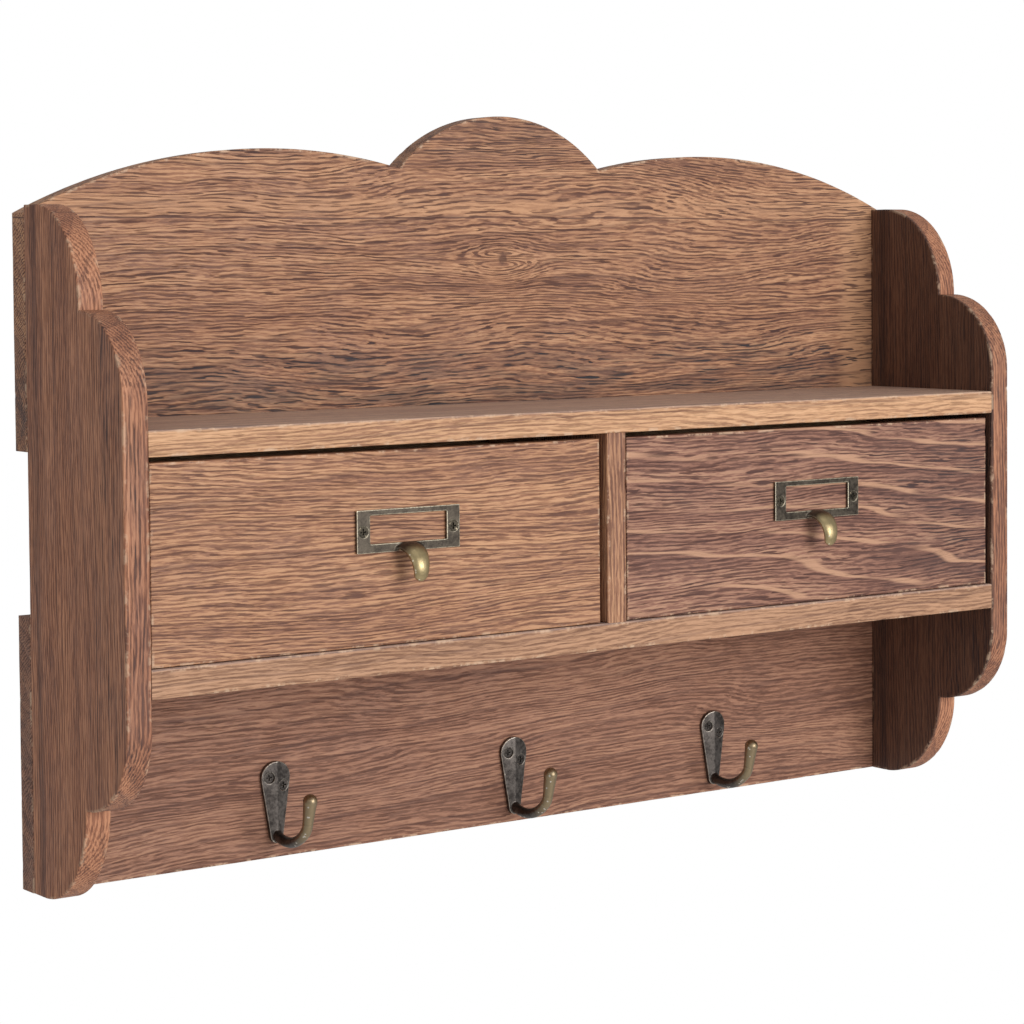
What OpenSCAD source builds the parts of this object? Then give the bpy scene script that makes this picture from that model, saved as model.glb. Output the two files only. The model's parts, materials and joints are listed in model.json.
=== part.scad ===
// Wall rack with a cubby shelf, two drawers and three coat hooks.
// X runs along the width, the open front faces -Y and Z points up.
// The origin is midway between the two wall screws, on the plane of the wall.

/* [Case] */
// Overall width of the rack
rack_w = 500; // [440:1:600]
// Overall depth, from the wall to the front edges
rack_d = 100; // [90:1:130]
// Height of the side panels
side_h = 296.5; // [290:0.5:310]
// Thickness of the side panels
side_t = 11.5; // [9:0.1:15]
// Thickness of the two back boards
back_t = 11.7; // [10:0.1:15]
// Thickness of the shelf above the drawers
top_shelf_t = 11; // [9:0.1:15]
// Thickness of the shelf below the drawers
low_shelf_t = 12.3; // [9:0.1:15]
// Thickness of the divider between the drawers
divider_t = 10.6; // [9:0.1:15]
// Height of the lower shelf's upper face
low_shelf_top = 106; // [100:0.5:112]
// Clear height of the drawer bays
bay_h = 86.5; // [80:0.5:90]

/* [Side panel outline] */
// Depth at which the rounded corner leaves the flat end
lobe_flat_d = 22; // [16:0.5:30]
// Depth of the notch between the two lobes
notch_d = 62.2; // [50:0.5:70]
// Height of the upper rounded corner
lobe_top_h = 44.5; // [35:0.5:50]
// Height of the lower rounded corner
lobe_low_h = 43.6; // [35:0.5:50]

/* [Back boards] */
// How far the lower back board reaches above the lower shelf
low_back_rise = 13.5; // [6:0.5:24]
// Gap between the upper back board's lower edge and the shelf's top face
top_back_lap = 12.8; // [6:0.1:14]
// Height of the crest's middle above the side panels
crest_rise = 43.5; // [38:0.5:54]
// Radius of the crest's middle arc
crest_r = 80; // [70:1:95]
// Height of the tops of the two side arcs above the side panels
wing_rise = 26.2; // [20:0.1:32]
// Height of the crest's two ends below the side panels
crest_end_drop = 3.25; // [0:0.05:8]

/* [Drawers] */
// Thickness of each drawer front
front_t = 9; // [8:0.5:12]
// Setback of the drawer fronts behind the shelf edges
front_setback = 1.5; // [0.5:0.1:4]
// Sideways offset of the left drawer in its bay
left_shift = -1.2; // [-1.4:0.1:1.4]
// Sideways offset of the right drawer in its bay
right_shift = -0.5; // [-1.4:0.1:1.4]
// How much lower the drawer box is than its front
box_drop = 2.8; // [0:0.1:20]
// Thickness of the box sides and back
box_t = 8; // [6:0.5:10]
// Thickness of the thin drawer bottom
bottom_t = 3; // [2:0.5:5]
// Height of the drawer bottom above the box's lower edge
bottom_lift = 6; // [4:0.5:12]
// Depth of the groove that holds the drawer bottom
groove_d = 3; // [2:0.5:4]

/* [Finger pulls] */
// Width of the label frame
pull_w = 53; // [48:0.5:60]
// Height of the label frame
pull_h = 18.5; // [17:0.5:24]
// Thickness of the label frame
pull_t = 1.6; // [1.2:0.1:2.5]
// Width of the label frame's sides, beside the window
frame_side_w = 6.75; // [6:0.05:9]
// Height of the bar above the window
frame_top_h = 2.4; // [1.8:0.1:4]
// Height of the bar below the window
frame_low_h = 3.8; // [3.5:0.1:5]
// Distance of the pull screws from the label frame's ends
pull_screw_inset = 3.25; // [3:0.05:4.5]
// Height of the label frame's middle above the bottom of the drawer front
pull_z = 49.5; // [40:0.5:54]
// Sideways offset of the left pull from the middle of its drawer front
left_pull_shift = 10; // [-12:0.5:12]
// Sideways offset of the right pull from the middle of its drawer front
right_pull_shift = 0; // [-12:0.5:12]
// Width of the finger at its root
finger_w = 12.5; // [10:0.5:18]
// Width of the finger at its tip
finger_tip_w = 6; // [4:0.5:10]
// Outer bend radius of the finger
finger_r = 11; // [8:0.5:12]
// Thickness of the finger
finger_t = 2.4; // [1.8:0.1:3]
// Length of the finger's straight root in front of the drawer front
finger_run = 2; // [1:0.5:8]

/* [Hooks] */
// Place of the left hook across the width
hook_left_x = -130; // [-150:0.5:-100]
// Place of the middle hook across the width
hook_middle_x = 3; // [-10:0.5:10]
// Place of the right hook across the width
hook_right_x = 127.5; // [100:0.5:150]
// Height of the lower end of the middle and right hook plates
hook_z = 4; // [2:0.5:20]
// How much higher the left hook sits than the other two
hook_left_lift = 3; // [0:0.5:6]
// Height of the hook plates
hook_h = 37.5; // [34:0.5:50]
// Width of the hook plates at the top
hook_w = 15; // [14:0.5:20]
// Width of the hook plates at the bottom
hook_low_w = 6.4; // [5:0.5:8]
// Thickness of the hook plates along their middle ridge
hook_ridge_t = 3; // [2.5:0.1:4]
// Thickness of the hook plates at their edges
hook_edge_t = 1.6; // [1.2:0.1:2]
// Distance of the hook screws from the plate's sides
hook_screw_inset = 3.8; // [3.4:0.1:5]
// How much higher the left screw of a hook sits than the right one
hook_screw_stagger = 3.9; // [0:0.1:5]
// Diameter of the hook arm in the bend
arm_dia = 4.8; // [4:0.1:6]
// Diameter of the hook arm's rounded end
tip_dia = 6.4; // [5:0.1:8]
// Radius of the wide bend at the bottom of the arm
arm_bend_r = 23; // [20:0.5:26]
// Radius of the tighter bend below the arm's straight end
arm_front_r = 8; // [6:0.5:12]
// Length of the straight end of the arm
arm_end_l = 11; // [6:0.5:16]

/* [Wall hangers] */
// Distance of the wall screws from the rack's sides; they are one stud spacing apart
hanger_inset = 46.8; // [30:0.1:100]
// Depth of the keyholes' round entries below the tops of the side panels
hanger_drop = 34.5; // [30:0.5:60]
// Width of a hanger plate
hanger_w = 20; // [18:1:26]
// Height of a hanger plate
hanger_h = 46; // [40:1:60]
// Thickness of a hanger plate
hanger_t = 1.5; // [1:0.1:2]
// Diameter of the keyhole's round entry
keyhole_dia = 9; // [8:0.5:11]
// Width of the keyhole's slot
keyhole_slot_w = 4.2; // [4:0.1:5]
// Length of the keyhole's slot, from the entry's middle
keyhole_slot_l = 11; // [9:0.5:14]
// Depth of the pocket for the screw heads
pocket_d = 7; // [5:0.5:8]

/* [Fasteners] */
// Diameter of the case dowels
dowel_dia = 6; // [5:0.5:8]
// Length of the case dowels
dowel_l = 20; // [18:1:24]
// Depth of the dowel holes in the side panels
dowel_side_depth = 7.5; // [6:0.5:8]
// Diameter of the divider dowels and of the drawer dowels
small_dowel_dia = 4; // [3:0.5:5]
// Length of the divider dowels and of the drawer dowels
small_dowel_l = 16; // [14:1:20]
// Diameter of the nails' shanks
nail_dia = 1.4; // [1.2:0.1:1.6]
// Diameter of the nails' heads
nail_head_dia = 2.6; // [2:0.1:3]
// Thickness of the nails' heads
nail_head_t = 0.6; // [0.4:0.1:0.8]
// Length of the back boards' nails
back_nail_l = 30; // [24:1:35]
// Length of the drawer nails
drawer_nail_l = 20; // [16:1:24]
// Diameter of the screws' threads
screw_dia = 2.4; // [2:0.1:2.6]
// Diameter of the screws' heads
screw_head_dia = 5; // [4.6:0.1:5.2]
// Wood left in front of the tips of the hanger screws
screw_cover = 1.7; // [1:0.1:4]
// Wood left behind the tips of the pull screws
pull_screw_cover = 1.5; // [1:0.1:4]

/* [Clearances] */
// Gap under each drawer
drawer_lift = 0.3; // [0.3:0.1:1]
// Gap above each drawer front
drawer_top_gap = 2.4; // [1:0.1:6]
// Gap on each side of a drawer that stands in the middle of its bay
drawer_side_gap = 2.1; // [1.5:0.1:6]
// Gap between the drawer box and the lower back board
drawer_back_gap = 2.3; // [1:0.1:6]
// Gap between a screw, nail, dowel or drawer bottom and its hole or groove
fit_gap = 0.05; // [0.03:0.01:0.1]

/* [Hidden] */
$fn = 64;
eps = 0.01;

inner_w = rack_w - 2 * side_t;
bay_w = (inner_w - divider_t) / 2;
bay_x = (divider_t + bay_w) / 2;
bay_top = low_shelf_top + bay_h;
shelf_top = bay_top + top_shelf_t;
low_shelf_bottom = low_shelf_top - low_shelf_t;
top_back_z = shelf_top - top_back_lap;
low_back_h = low_shelf_top + low_back_rise;
side_x = rack_w / 2 - side_t / 2;
panel_d = rack_d - back_t;
lobe_rx = notch_d - lobe_flat_d;
lobe_r = rack_d - notch_d;

// Crest: the side arcs are as wide as half the rack and end a little below the side panels
crest_z = side_h + crest_rise;
wing_z = side_h + wing_rise;
wing_fall = wing_rise + crest_end_drop;
wing_r = (pow(rack_w / 4, 2) + pow(wing_fall, 2)) / (2 * wing_fall);

// Wall screws
hanger_pitch = rack_w - 2 * hanger_inset;
hanger_z = side_h - hanger_drop;

// Drawer box, in a frame whose X origin is the middle of the drawer
front_y = front_setback - rack_d;
front_z = low_shelf_top + drawer_lift;
box_front_y = front_y + front_t;
box_back_y = -back_t - drawer_back_gap;
box_d = box_back_y - box_front_y;
front_w = bay_w - 2 * drawer_side_gap;
front_h = bay_h - drawer_lift - drawer_top_gap;
box_w = front_w;
box_h = front_h - box_drop;
left_x = left_shift - bay_x;
right_x = right_shift + bay_x;
bottom_z = front_z + bottom_lift;
pull_mid_z = front_z + pull_z;
pull_low_z = pull_mid_z - pull_h / 2;
window_w = pull_w - 2 * frame_side_w;
window_h = pull_h - frame_low_h - frame_top_h;
pull_screw_pitch = pull_w - 2 * pull_screw_inset;
pull_screw_y = front_y - pull_t + 0.1;
pull_screw_l = front_t + pull_t - 0.1 - pull_screw_cover;
finger_curl = 34;

// Nail rows: heights on the side panels, places along the shelves
top_side_nails = [shelf_top + 20, side_h - 18];
low_side_nails = [28, low_shelf_bottom - 18];
shelf_nails = [-rack_w / 3, -rack_w / 9, rack_w / 9, rack_w / 3];
dowel_depths = [back_t + panel_d * 0.25, back_t + panel_d * 0.75];
box_nail_heights = [front_z + box_h * 0.35, front_z + box_h * 0.8];
box_dowel_heights = [front_z + box_h * 0.3, front_z + box_h * 0.75];

// Hook arm: a wide bend from the plate, a tighter bend, then the straight end
plate_y = -back_t;
arm_root_run = 7.7;
arm_root_y = plate_y - hook_ridge_t - arm_root_run;
arm_root_turn = asin((arm_root_run + hook_ridge_t * 0.45) / arm_bend_r);
arm_low_z = hook_z + 1.9;
arm_turn = 46;
arm_lean = 12;
arm_front_turn = 90 - arm_lean - arm_turn;

// Place of each hook across the width and how far it is lifted
hook_places = [[hook_left_x, hook_left_lift], [hook_middle_x, 0], [hook_right_x, 0]];

// Screws of a hook: length, distance apart, height of the right one and place of their faces
screw_l = back_t - screw_cover;
hook_screw_pitch = hook_w - 2 * hook_screw_inset;
hook_screw_z = hook_z + hook_h - hook_w * 0.75;
hook_screw_y = plate_y - hook_ridge_t
    + (hook_ridge_t - hook_edge_t) * hook_screw_pitch / hook_w + 0.2;

// ---- General helpers ----

// Heights below are counted from the rack's lower edge; this moves them to the wall screws
module on_wall() {
    translate([0, 0, -hanger_z]) children();
}

// An outline in depth and height, extruded across the width and centred on X = 0
module across(t) {
    rotate([90, 0, -90]) translate([0, 0, -t / 2]) linear_extrude(t) children();
}

// An outline in width and height, extruded from the depth y towards the wall
module upright(y, t) {
    translate([0, y + t, 0]) rotate([90, 0, 0]) linear_extrude(t) children();
}

// A board from a low corner and its size
module board(low, size) {
    translate(low) cube(size);
}

// A round bar that starts at y and runs towards the wall
module bar_y(x, y, z, dia, l) {
    translate([x, y, z]) rotate([-90, 0, 0]) cylinder(d = dia, h = l);
}

// A round bar along X that starts at x
module bar_x(x, y, z, dia, l) {
    translate([x, y, z]) rotate([0, 90, 0]) cylinder(d = dia, h = l);
}

// Points of a quarter of an ellipse, from angle a0 to angle a1, without the first `skip`
function quarter(c, rx, rz, a0, a1, skip = 0, n = 16) =
    [for (i = [skip:n]) let (a = a0 + (a1 - a0) * i / n) c + [rx * cos(a), rz * sin(a)]];

// A section in radius and width, bent about the centre c in depth and height
// Angles count from straight down towards the front
module bend(c, from, turn) {
    translate([0, c[0], c[1]]) rotate([-from - turn, 0, 0]) rotate([0, 90, 0])
        rotate_extrude(angle = turn, $fn = 96) children();
}

// ---- Fasteners ----

// Cross recess in a screw head whose face lies at y, cut towards the wall
module cross_recess(x, y, z, size) {
    for (a = [0, 90])
        translate([x, y - eps, z]) rotate([0, a, 0])
            translate([-size / 2, 0, -size / 10]) cube([size, size / 3, size / 5]);
}

// A countersunk wood screw whose face lies at y; it is driven towards the wall
module wood_screw(x, y, z, l) {
    head_h = (screw_head_dia - screw_dia) / 2;
    difference() {
        translate([x, y, z]) rotate([-90, 0, 0]) {
            cylinder(d1 = screw_head_dia, d2 = screw_dia, h = head_h);
            cylinder(d = screw_dia, h = l - 1.5);
            translate([0, 0, l - 1.5]) cylinder(d1 = screw_dia, d2 = 0.4, h = 1.5);
        }
        cross_recess(x, y, z, screw_head_dia * 0.55);
    }
}

// The space that such a screw takes, with its clearance
module screw_space(x, y, z, l) {
    head_h = (screw_head_dia - screw_dia) / 2;
    translate([x, y, z]) rotate([-90, 0, 0]) {
        cylinder(d1 = screw_head_dia + 2 * fit_gap, d2 = screw_dia + 2 * fit_gap, h = head_h);
        translate([0, 0, -5]) cylinder(d = screw_head_dia + 2 * fit_gap, h = 5);
        cylinder(d = screw_dia + 2 * fit_gap, h = l + fit_gap);
    }
}

// A nail driven from the wall side, its head flush with the plane y = 0
module back_nail(x, z, grow = 0) {
    bar_y(x, -nail_head_t - grow, z, nail_head_dia + 2 * grow, nail_head_t + grow * 2);
    bar_y(x, -back_nail_l - grow, z, nail_dia + 2 * grow, back_nail_l);
}

// Every nail of the back boards, or the holes that they make
module all_back_nails(grow = 0) {
    for (s = [-1, 1], z = concat(top_side_nails, low_side_nails))
        back_nail(s * side_x, z, grow);
    for (x = shelf_nails, z = [shelf_top - top_shelf_t / 2, low_shelf_top - low_shelf_t / 2])
        back_nail(x, z, grow);
}

// Dowels between the side panels and the shelves
module all_shelf_dowels(grow = 0) {
    for (s = [-1, 1], d = dowel_depths)
        for (z = [shelf_top - top_shelf_t / 2, low_shelf_top - low_shelf_t / 2]) {
            x = s * (inner_w / 2 + dowel_side_depth - dowel_l / 2);
            bar_x(x - dowel_l / 2 - grow, -d, z, dowel_dia + 2 * grow, dowel_l + 2 * grow);
        }
}

// Dowels between the divider and the shelves
module all_divider_dowels(grow = 0) {
    for (d = dowel_depths, z = [low_shelf_top, bay_top])
        translate([0, -d, z - small_dowel_l / 2 - grow])
            cylinder(d = small_dowel_dia + 2 * grow, h = small_dowel_l + 2 * grow);
}

// ---- Case ----

// Side panel outline: a rounded corner over a deeper lobe, and the same again below
module panel_outline() {
    low_corner = [lobe_flat_d, lobe_low_h];
    low_lobe = [notch_d, lobe_low_h + lobe_r];
    top_lobe = [notch_d, side_h - lobe_top_h - lobe_r];
    top_corner = [lobe_flat_d, side_h - lobe_top_h];
    polygon(concat(
        [[back_t, side_h], [back_t, 0]],
        quarter(low_corner, lobe_rx, lobe_low_h, -90, 0),
        quarter(low_lobe, lobe_r, lobe_r, -90, 0, 1),
        quarter(top_lobe, lobe_r, lobe_r, 0, 90),
        quarter(top_corner, lobe_rx, lobe_top_h, 0, 90, 1)
    ));
}

module side_panel(s) {
    color("saddlebrown") on_wall() difference() {
        translate([s * side_x, 0, 0]) across(side_t) panel_outline();
        all_back_nails(fit_gap);
        all_shelf_dowels(fit_gap);
    }
}

module side_panel_left() {
    side_panel(-1);
}

module side_panel_right() {
    side_panel(1);
}

// Crest of the upper back board: two wide arcs and a tighter one between them
module crest_outline() {
    intersection() {
        translate([-rack_w / 2, top_back_z]) square([rack_w, crest_z]);
        union() {
            for (s = [-1, 1])
                translate([s * rack_w / 4, wing_z - wing_r]) circle(r = wing_r, $fn = 180);
            translate([0, crest_z - crest_r]) circle(r = crest_r, $fn = 120);
        }
    }
}

// Recess for a hanger plate, with the deeper pocket behind its keyhole
module hanger_recess(x) {
    low_z = hanger_z - hanger_h / 2 + 4;
    translate([x - hanger_w / 2, -hanger_t, low_z - fit_gap]) cube([hanger_w, 5, hanger_h + 2 * fit_gap]);
    bar_y(x, -pocket_d, hanger_z, keyhole_dia + 3, pocket_d);
    bar_y(x, -pocket_d, hanger_z + keyhole_slot_l, keyhole_dia + 3, pocket_d);
    translate([x - keyhole_dia / 2 - 1.5, -pocket_d, hanger_z])
        cube([keyhole_dia + 3, pocket_d, keyhole_slot_l]);
}

// Heights of the two screws of a hanger plate
function hanger_screw_z() = [hanger_z - hanger_h / 2 + 4 + 5.5, hanger_z + hanger_h / 2 + 4 - 5.5];

module back_board_upper() {
    color("sienna") on_wall() difference() {
        upright(-back_t, back_t) crest_outline();
        all_back_nails(fit_gap);
        for (s = [-1, 1]) {
            hanger_recess(s * hanger_pitch / 2);
            for (z = hanger_screw_z()) hanger_screw_hole(s * hanger_pitch / 2, z);
        }
    }
}

module back_board_lower() {
    color("sienna") on_wall() difference() {
        board([-rack_w / 2, -back_t, 0], [rack_w, back_t, low_back_h]);
        all_back_nails(fit_gap);
        all_hook_screw_spaces();
    }
}

module shelf_upper() {
    color("peru") on_wall() difference() {
        board([-inner_w / 2, -rack_d, bay_top], [inner_w, panel_d, top_shelf_t]);
        all_back_nails(fit_gap);
        all_shelf_dowels(fit_gap);
        all_divider_dowels(fit_gap);
    }
}

module shelf_lower() {
    color("peru") on_wall() difference() {
        board([-inner_w / 2, -rack_d, low_shelf_bottom], [inner_w, panel_d, low_shelf_t]);
        all_back_nails(fit_gap);
        all_shelf_dowels(fit_gap);
        all_divider_dowels(fit_gap);
    }
}

module divider() {
    color("peru") on_wall() difference() {
        board([-divider_t / 2, -rack_d, low_shelf_top], [divider_t, panel_d, bay_h]);
        all_divider_dowels(fit_gap);
    }
}

module shelf_dowels() {
    color("burlywood") on_wall() all_shelf_dowels();
}

module divider_dowels() {
    color("burlywood") on_wall() all_divider_dowels();
}

module back_nails() {
    color("silver") on_wall() all_back_nails();
}

// ---- Wall hangers ----

// A hanger screw is driven away from the wall, its face flush with the plate
module hanger_screw(x, z) {
    rotate([0, 0, 180]) wood_screw(-x, 0, z, screw_l);
}

module hanger_screw_hole(x, z) {
    rotate([0, 0, 180]) screw_space(-x, 0, z, screw_l);
}

// A plate with a keyhole: a round entry and a slot above it
module hanger(x) {
    low_z = hanger_z - hanger_h / 2 + 4;
    color("silver") on_wall() difference() {
        translate([x - hanger_w / 2 + fit_gap, -hanger_t, low_z])
            cube([hanger_w - 2 * fit_gap, hanger_t, hanger_h]);
        bar_y(x, -hanger_t - 1, hanger_z, keyhole_dia, hanger_t + 2);
        bar_y(x, -hanger_t - 1, hanger_z + keyhole_slot_l, keyhole_slot_w, hanger_t + 2);
        translate([x - keyhole_slot_w / 2, -hanger_t - 1, hanger_z])
            cube([keyhole_slot_w, hanger_t + 2, keyhole_slot_l]);
        for (z = hanger_screw_z()) hanger_screw_hole(x, z);
    }
}

module hanger_left() {
    hanger(-hanger_pitch / 2);
}

module hanger_right() {
    hanger(hanger_pitch / 2);
}

module hanger_screws() {
    color("silver") on_wall()
        for (s = [-1, 1], z = hanger_screw_z()) hanger_screw(s * hanger_pitch / 2, z);
}

// ---- Hooks ----

// Tongue-shaped outline: a wide round top, straight tapering sides and a small round end
module tongue() {
    top_r = hook_w / 2;
    low_r = hook_low_w / 2;
    top_c = [0, hook_z + hook_h - top_r];
    low_c = [0, hook_z + low_r];
    lean = asin((top_r - low_r) / (top_c[1] - low_c[1]));
    polygon(concat(
        quarter(top_c, top_r, top_r, -lean, 180 + lean, n = 24),
        quarter(low_c, low_r, low_r, 180 + lean, 360 - lean, n = 12)
    ));
}

// Cross-section of the hook plate: two faces that meet in a ridge
module ridge_section() {
    half = hook_w / 2 + 1;
    polygon([
        [-half, plate_y], [half, plate_y], [half, plate_y - hook_edge_t],
        [0, plate_y - hook_ridge_t], [-half, plate_y - hook_edge_t]
    ]);
}

// Centres of the arm's two bends, and the start of its straight end, in depth and height
arm_centre = [arm_root_y, arm_low_z + arm_bend_r];
arm_corner = arm_centre + (arm_bend_r - arm_front_r) * [-sin(arm_turn), -cos(arm_turn)];
arm_end = arm_corner + arm_front_r * [-cos(arm_lean), -sin(arm_lean)];

// A round bar bent about c; it stops short at its ends, where a ball joins it to the next one
module bent_bar(c, r, from, turn) {
    gap = 0.25 * 180 / (PI * r);
    bend(c, from + gap, turn - 2 * gap) translate([r, 0]) circle(d = arm_dia, $fn = 40);
}

module ball(c, dia) {
    translate([0, c[0], c[1]]) sphere(d = dia, $fn = 40);
}

// The J-shaped arm: it leaves the plate, dips, and rises to a thick rounded tip
module arm() {
    bent_bar(arm_centre, arm_bend_r, -arm_root_turn, arm_root_turn + arm_turn);
    ball(arm_centre + arm_bend_r * [-sin(arm_turn), -cos(arm_turn)], arm_dia + 0.2);
    bent_bar(arm_corner, arm_front_r, arm_turn, arm_front_turn);
    ball(arm_end, arm_dia + 0.2);
    translate([0, arm_end[0], arm_end[1]]) rotate([arm_lean, 0, 0]) {
        translate([0, 0, 0.25]) cylinder(d1 = arm_dia, d2 = tip_dia, h = arm_end_l - 0.25);
        translate([0, 0, arm_end_l]) sphere(d = tip_dia + 0.2, $fn = 40);
    }
}

function hook_screw_height(side, lift) = hook_screw_z + lift + (side < 0 ? hook_screw_stagger : 0);

module hook(place) {
    color("dimgray") on_wall() difference() {
        translate([place[0], 0, place[1]]) {
            intersection() {
                upright(plate_y - hook_ridge_t, hook_ridge_t) tongue();
                linear_extrude(hook_z + hook_h + 1) ridge_section();
            }
            arm();
        }
        hook_screw_spaces(place);
    }
}

module hook_screw_spaces(place) {
    for (s = [-1, 1])
        screw_space(place[0] + s * hook_screw_pitch / 2, hook_screw_y,
            hook_screw_height(s, place[1]), screw_l);
}

module all_hook_screw_spaces() {
    for (place = hook_places) hook_screw_spaces(place);
}

module hook_left() {
    hook(hook_places[0]);
}

module hook_middle() {
    hook(hook_places[1]);
}

module hook_right() {
    hook(hook_places[2]);
}

module hook_screws() {
    color("gray") on_wall()
        for (place = hook_places, s = [-1, 1])
            wood_screw(place[0] + s * hook_screw_pitch / 2, hook_screw_y,
                hook_screw_height(s, place[1]), screw_l);
}

// ---- Drawers, each drawn about its own middle ----

// Dowels between the drawer front and the box sides
module box_dowels(grow = 0) {
    for (s = [-1, 1], z = box_dowel_heights)
        bar_y(s * (box_w - box_t) / 2, box_front_y - front_t + 3 - grow, z,
            small_dowel_dia + 2 * grow, small_dowel_l + 2 * grow);
}

// Nails through the box sides into the box back
module box_nails(grow = 0) {
    y = box_back_y - box_t / 2;
    for (side = [0, 1], z = box_nail_heights) mirror([side, 0, 0]) {
        bar_x(-box_w / 2 - grow, y, z, nail_head_dia + 2 * grow, nail_head_t + grow * 2);
        bar_x(-box_w / 2 + grow, y, z, nail_dia + 2 * grow, drawer_nail_l);
    }
}

// The thin bottom and, with a clearance, the groove around it
module bottom_board(grow = 0) {
    w = box_w - 2 * box_t + 2 * groove_d;
    d = box_d - box_t + 2 * groove_d;
    board([-w / 2 - grow, box_front_y - groove_d - grow, bottom_z - grow],
        [w + 2 * grow, d + 2 * grow, bottom_t + 2 * grow]);
}

module pull_screw_spaces(shift) {
    for (s = [-1, 1])
        screw_space(shift + s * pull_screw_pitch / 2, pull_screw_y, pull_mid_z, pull_screw_l);
}

module drawer_front(shift) {
    color("peru") difference() {
        board([-front_w / 2, front_y, front_z], [front_w, front_t, front_h]);
        bottom_board(fit_gap);
        box_dowels(fit_gap);
        pull_screw_spaces(shift);
    }
}

module drawer_side(s) {
    color("tan") difference() {
        board([s * (box_w - box_t) / 2 - box_t / 2, box_front_y, front_z], [box_t, box_d, box_h]);
        bottom_board(fit_gap);
        box_dowels(fit_gap);
        box_nails(fit_gap);
    }
}

module drawer_back() {
    color("tan") difference() {
        board([-box_w / 2 + box_t, box_back_y - box_t, front_z], [box_w - 2 * box_t, box_t, box_h]);
        bottom_board(fit_gap);
        box_nails(fit_gap);
    }
}

// The label frame, its finger and its two screw holes
module pull(shift) {
    color("darkgoldenrod") difference() {
        translate([shift, 0, 0]) {
            label_frame();
            finger();
        }
        pull_screw_spaces(shift);
    }
}

module label_frame() {
    upright(front_y - pull_t, pull_t) translate([0, pull_low_z]) difference() {
        translate([-pull_w / 2, 0]) square([pull_w, pull_h]);
        translate([-window_w / 2, frame_low_h]) square([window_w, window_h]);
    }
}

// The finger: a strip that runs forward from the lower bar and curls down, narrower at its tip
module finger() {
    centre_y = front_y - finger_run;
    centre_z = pull_low_z + frame_low_h - finger_r;
    tip_z = centre_z - finger_r * sin(finger_curl);
    intersection() {
        union() {
            bend([centre_y, centre_z], 90 - finger_curl, 90 + finger_curl)
                translate([finger_r - finger_t, -finger_w / 2]) square([finger_t, finger_w]);
            board([-finger_w / 2, centre_y, centre_z + finger_r - finger_t],
                [finger_w, front_y - centre_y, finger_t]);
        }
        upright(-2 * rack_d, 2 * rack_d) polygon([
            [-finger_w / 2, centre_z + finger_r + 1], [-finger_w / 2, centre_z + finger_r * 0.7],
            [-finger_tip_w / 2, tip_z], [finger_tip_w / 2, tip_z],
            [finger_w / 2, centre_z + finger_r * 0.7], [finger_w / 2, centre_z + finger_r + 1]
        ]);
    }
}

module pull_screws(shift) {
    color("goldenrod")
        for (s = [-1, 1])
            wood_screw(shift + s * pull_screw_pitch / 2, pull_screw_y, pull_mid_z, pull_screw_l);
}

// Puts a drawer piece in the left or the right bay
module in_left_bay() {
    on_wall() translate([left_x, 0, 0]) children();
}

module in_right_bay() {
    on_wall() translate([right_x, 0, 0]) children();
}

module left_drawer_front() {
    in_left_bay() drawer_front(left_pull_shift);
}

module left_drawer_side_outer() {
    in_left_bay() drawer_side(-1);
}

module left_drawer_side_inner() {
    in_left_bay() drawer_side(1);
}

module left_drawer_back() {
    in_left_bay() drawer_back();
}

module left_drawer_bottom() {
    in_left_bay() color("burlywood") bottom_board();
}

module left_drawer_dowels() {
    in_left_bay() color("burlywood") box_dowels();
}

module left_drawer_nails() {
    in_left_bay() color("silver") box_nails();
}

module left_pull() {
    in_left_bay() pull(left_pull_shift);
}

module left_pull_screws() {
    in_left_bay() pull_screws(left_pull_shift);
}

module right_drawer_front() {
    in_right_bay() drawer_front(right_pull_shift);
}

module right_drawer_side_outer() {
    in_right_bay() drawer_side(1);
}

module right_drawer_side_inner() {
    in_right_bay() drawer_side(-1);
}

module right_drawer_back() {
    in_right_bay() drawer_back();
}

module right_drawer_bottom() {
    in_right_bay() color("burlywood") bottom_board();
}

module right_drawer_dowels() {
    in_right_bay() color("burlywood") box_dowels();
}

module right_drawer_nails() {
    in_right_bay() color("silver") box_nails();
}

module right_pull() {
    in_right_bay() pull(right_pull_shift);
}

module right_pull_screws() {
    in_right_bay() pull_screws(right_pull_shift);
}

side_panel_left();
side_panel_right();
back_board_upper();
back_board_lower();
shelf_upper();
shelf_lower();
divider();
shelf_dowels();
divider_dowels();
back_nails();
hanger_left();
hanger_right();
hanger_screws();
hook_left();
hook_middle();
hook_right();
hook_screws();
left_drawer_front();
left_drawer_side_outer();
left_drawer_side_inner();
left_drawer_back();
left_drawer_bottom();
left_drawer_dowels();
left_drawer_nails();
left_pull();
left_pull_screws();
right_drawer_front();
right_drawer_side_outer();
right_drawer_side_inner();
right_drawer_back();
right_drawer_bottom();
right_drawer_dowels();
right_drawer_nails();
right_pull();
right_pull_screws();
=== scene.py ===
"""Looks of the wall rack: a cubby shelf, two drawers and three coat hooks.

Millimetres are used for the sizes below; the scene itself is in metres.
X runs along the width, the open front faces -Y and Z points up.
"""

import json
import math

import bmesh
import bpy
from mathutils import Matrix, Vector, noise

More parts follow.
